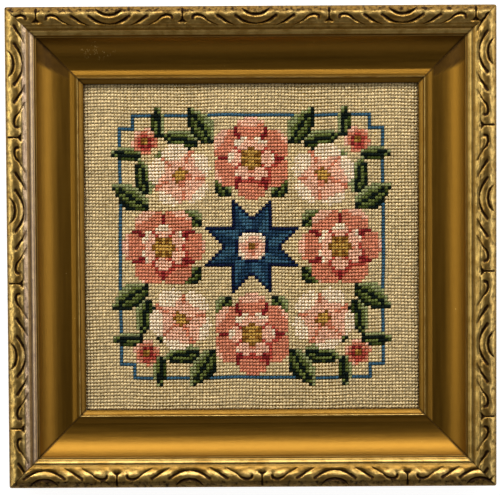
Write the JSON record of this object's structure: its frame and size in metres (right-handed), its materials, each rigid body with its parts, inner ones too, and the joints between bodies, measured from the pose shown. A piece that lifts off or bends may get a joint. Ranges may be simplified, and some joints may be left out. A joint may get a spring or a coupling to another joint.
{
  "type": "needlepoint canvas panel in a picture frame",
  "caption": "Nearly square stitched wool needlepoint panel held in the rabbet of a mitred, carved and gilded wooden picture frame, lying face up on its flat back.",
  "frame": {"origin": "middle of the frame's flat back, which rests on the surface", "axes": "+X to the right and +Y to the top of the stitched face, +Z out of the stitched face"},
  "size_m": [0.3682, 0.3624, 0.03],
  "materials": {
    "gilt_wood": "carved wood with a satin antique gold finish, darkened in the hollows",
    "needlepoint": "matt wool tent stitches that cover the canvas"
  },
  "bodies": {
    "root": {"rail_bottom": "gilt_wood", "rail_right": "gilt_wood", "rail_top": "gilt_wood", "rail_left": "gilt_wood", "canvas_panel": "needlepoint"}
  },
  "joints": []
}
